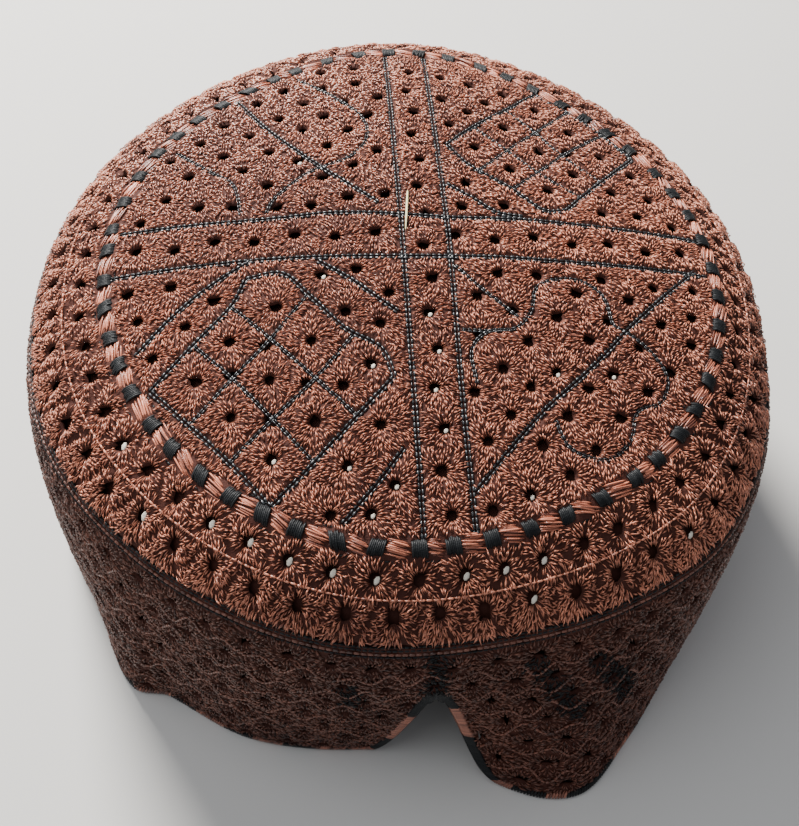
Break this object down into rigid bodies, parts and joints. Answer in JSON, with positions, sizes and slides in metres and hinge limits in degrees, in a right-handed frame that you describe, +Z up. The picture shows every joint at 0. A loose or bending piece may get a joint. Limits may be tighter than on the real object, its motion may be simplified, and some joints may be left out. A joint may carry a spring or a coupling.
{
  "type": "sindhi cap",
  "caption": "Round embroidered cap with a low domed top, a pierced pattern, an upright band and a pointed notch at the front.",
  "frame": {"origin": "middle of the base, on the surface that the cap stands on", "axes": "+Z up through the top; -Y towards the front, where the notch is; +X towards the right as the picture is seen"},
  "size_m": [0.1903, 0.1951, 0.097],
  "materials": {
    "crown_cloth": "copper-brown thread embroidery",
    "ring_satin": "satin-stitched copper and black blocks",
    "band_cloth": "dark maroon embroidered cloth",
    "piping_chain": "black chain stitch",
    "binding": "bound edge, black with copper blocks",
    "cotton": "plain cream cotton"
  },
  "bodies": {
    "root": {"crown_panel": "crown_cloth", "crown_ring": "ring_satin", "side_band": "band_cloth", "seam_piping": "piping_chain", "hem_binding": "binding", "lining": "cotton"}
  },
  "joints": []
}
